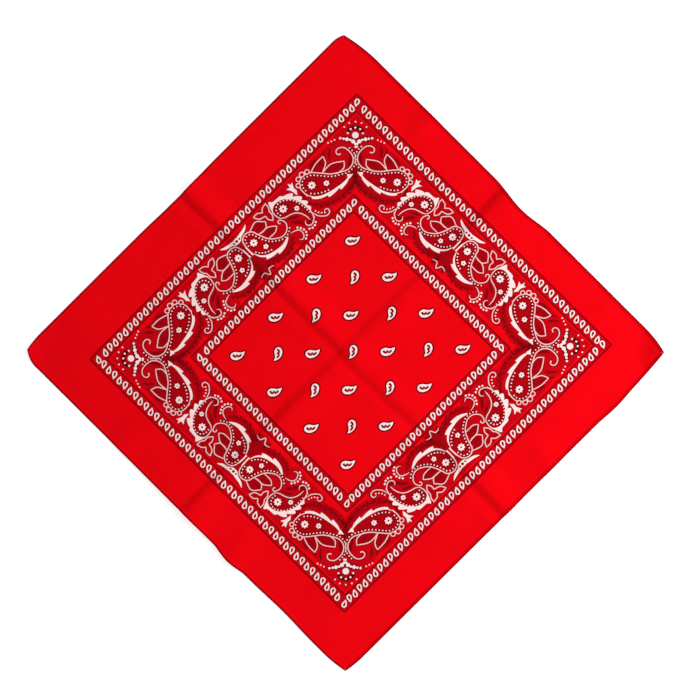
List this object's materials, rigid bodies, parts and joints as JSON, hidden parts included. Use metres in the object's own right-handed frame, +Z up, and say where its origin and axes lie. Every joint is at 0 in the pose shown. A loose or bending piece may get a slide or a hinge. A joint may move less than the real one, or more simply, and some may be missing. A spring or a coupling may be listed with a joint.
{
  "type": "bandana",
  "caption": "Square cotton bandana laid flat with a corner up, with narrow turned hems and the soft creases of a cloth that was folded in quarters.",
  "frame": {"origin": "centre of the bounding box in X and Y, on the surface that the cloth lies on", "axes": "+Z up from the surface, +Y towards the top corner of the laid cloth, +X towards its right corner"},
  "size_m": [0.7639, 0.7638, 0.0083],
  "materials": {
    "printed_cotton": "plain-woven cotton, dyed red and printed in white and black",
    "turned_hem": "the same red cotton, folded over and stitched"
  },
  "bodies": {
    "root": {"panel": "printed_cotton", "hem_upper_right": "turned_hem", "hem_lower_right": "turned_hem", "hem_lower_left": "turned_hem", "hem_upper_left": "turned_hem"}
  },
  "joints": []
}
